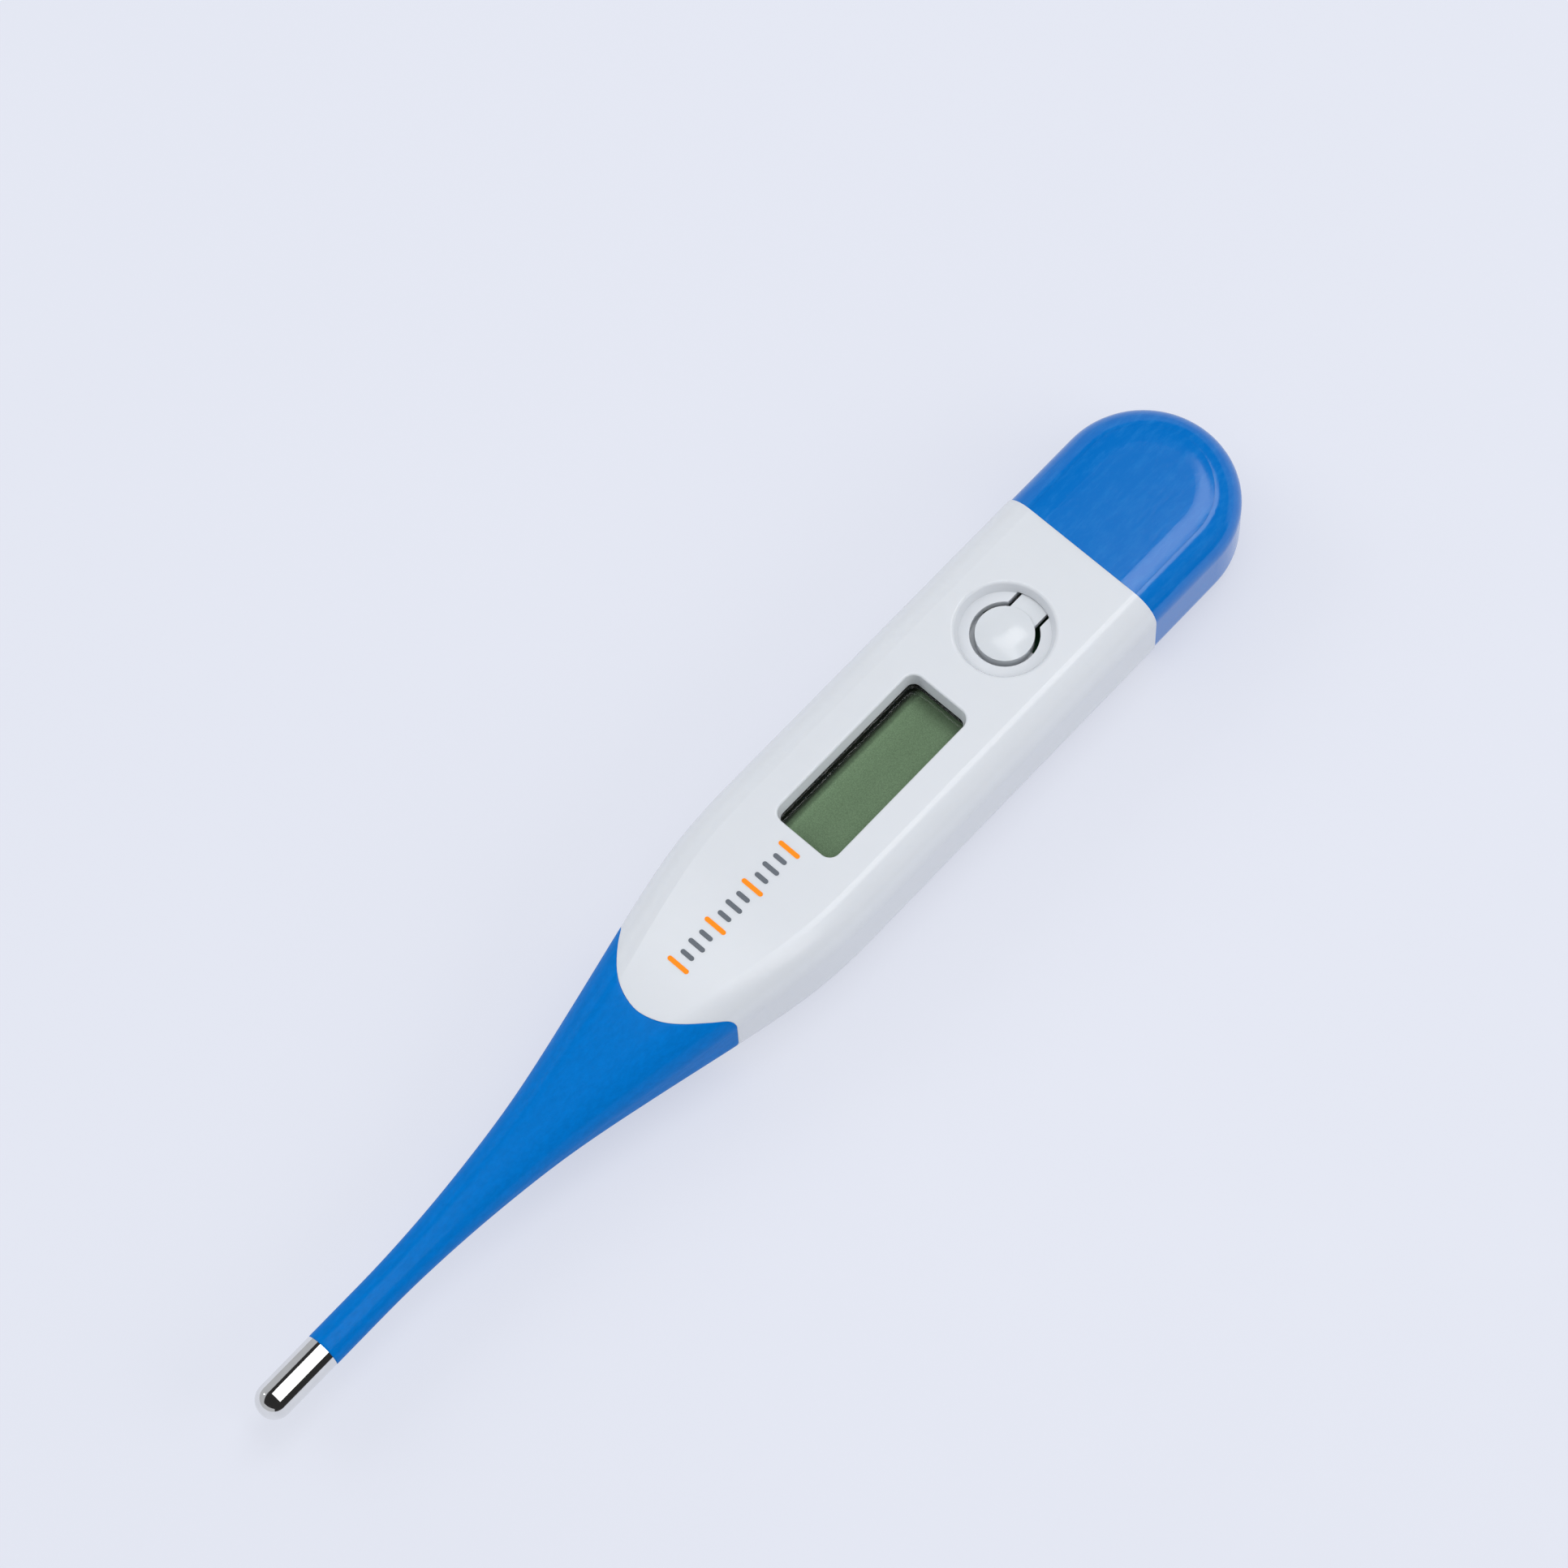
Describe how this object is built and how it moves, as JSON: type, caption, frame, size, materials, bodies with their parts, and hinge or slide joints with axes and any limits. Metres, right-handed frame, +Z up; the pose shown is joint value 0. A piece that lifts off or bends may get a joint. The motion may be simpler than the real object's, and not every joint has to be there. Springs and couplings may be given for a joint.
{
  "type": "digital thermometer",
  "caption": "Flexible-tip digital clinical thermometer: white body with display window and round button, bendable blue probe with steel tip, blue sliding battery cover.",
  "frame": {"origin": "centre of the bounding box's bottom face, on the flat back", "axes": "+X along the body from the metal tip to the battery cover, +Z up out of the display face, +Y completes the right hand"},
  "size_m": [0.134, 0.0194, 0.0112],
  "materials": {
    "white_abs": "satin gloss moulded ABS, off-white",
    "white_button": "smooth moulded ABS, off-white",
    "blue_tpe": "satin thermoplastic elastomer, mid blue",
    "blue_abs": "moulded ABS, mid blue, finely streaked raised pad",
    "stainless": "polished deep-drawn stainless steel",
    "clear_acrylic": "clear moulded acrylic",
    "foam_tape": "black double-sided tape",
    "polariser": "green-grey polarising film",
    "lcd_glass": "thin float glass",
    "reflector_film": "silver-grey reflective film",
    "zebra_rubber": "layered conductive elastomer",
    "board_green": "green solder mask on glass-fibre laminate",
    "dome_steel": "snap-dome spring steel",
    "epoxy_black": "black glob-top epoxy",
    "resistor_black": "black chip resistor",
    "capacitor_tan": "tan ceramic chip capacitor",
    "solder": "bright solder",
    "screw_steel": "zinc-plated steel",
    "natural_abs": "natural ABS",
    "brass_plate": "rolled brass",
    "piezo_white": "silvered piezo ceramic",
    "contact_nickel": "nickel-plated spring strip",
    "cell_steel": "stainless cell can",
    "gasket_nylon": "nylon seal",
    "bead_glass": "glass-coated thermistor bead",
    "epoxy_clear": "thermally conductive epoxy",
    "wire_enamel": "enamelled copper wire"
  },
  "bodies": {
    "main": {"housing": "white_abs", "probe_skirt": "blue_tpe", "lead_wire_left": "wire_enamel", "lead_wire_right": "wire_enamel", "window_lens": "clear_acrylic", "lens_adhesive": "foam_tape", "lcd_front_glass": "lcd_glass", "lcd_front_polariser": "polariser", "lcd_rear_glass": "lcd_glass", "lcd_reflector": "reflector_film", "zebra_strip": "zebra_rubber", "circuit_board": "board_green", "switch_dome": "dome_steel", "chip_blob": "epoxy_black", "smd_resistors": "resistor_black", "smd_capacitors": "capacitor_tan", "solder_joints": "solder", "board_screws": "screw_steel", "chassis": "natural_abs", "buzzer_plate": "brass_plate", "buzzer_ceramic": "piezo_white", "buzzer_spring": "contact_nickel", "battery_can": "cell_steel", "battery_gasket": "gasket_nylon", "battery_cap": "cell_steel", "positive_contact": "contact_nickel", "negative_contact": "contact_nickel"},
    "cover": {"battery_cover": "blue_abs"},
    "button": {"power_button": "white_button"},
    "flex_1": {"probe_flex_1": "blue_tpe"},
    "flex_2": {"probe_flex_2": "blue_tpe"},
    "flex_3": {"probe_flex_3": "blue_tpe"},
    "tip": {"probe_sleeve": "blue_tpe", "sensor_tip": "stainless", "thermistor_bead": "bead_glass", "tip_potting": "epoxy_clear"}
  },
  "joints": [
    {"name": "cover_slide", "type": "slide", "parent": "main", "child": "cover", "axis": [1, 0, 0], "range_m": [0, 0.022]},
    {"name": "button_press", "type": "hinge", "parent": "main", "child": "button", "pos_m": [0.0432, 0, 0.00965], "axis": [0, -1, 0], "range_deg": [0, 3.6], "stiffness_Nm_per_rad": 0.1},
    {"name": "flex_root", "type": "hinge", "parent": "main", "child": "flex_1", "pos_m": [-0.031, 0, 0.0056], "axis": [0, 1, 0], "range_deg": [-15, 15], "stiffness_Nm_per_rad": 0.05, "deforming": ["lead_wire_left", "lead_wire_right"]},
    {"name": "flex_upper", "type": "hinge", "parent": "flex_1", "child": "flex_2", "pos_m": [-0.0375, 0, 0.0056], "axis": [0, 1, 0], "range_deg": [-15, 15], "stiffness_Nm_per_rad": 0.05, "deforming": ["lead_wire_left", "lead_wire_right"]},
    {"name": "flex_lower", "type": "hinge", "parent": "flex_2", "child": "flex_3", "pos_m": [-0.044, 0, 0.0056], "axis": [0, 1, 0], "range_deg": [-15, 15], "stiffness_Nm_per_rad": 0.05, "deforming": ["lead_wire_left", "lead_wire_right"]},
    {"name": "flex_tip", "type": "hinge", "parent": "flex_3", "child": "tip", "pos_m": [-0.0505, 0, 0.0056], "axis": [0, 1, 0], "range_deg": [-15, 15], "stiffness_Nm_per_rad": 0.05, "deforming": ["lead_wire_left", "lead_wire_right"]}
  ]
}
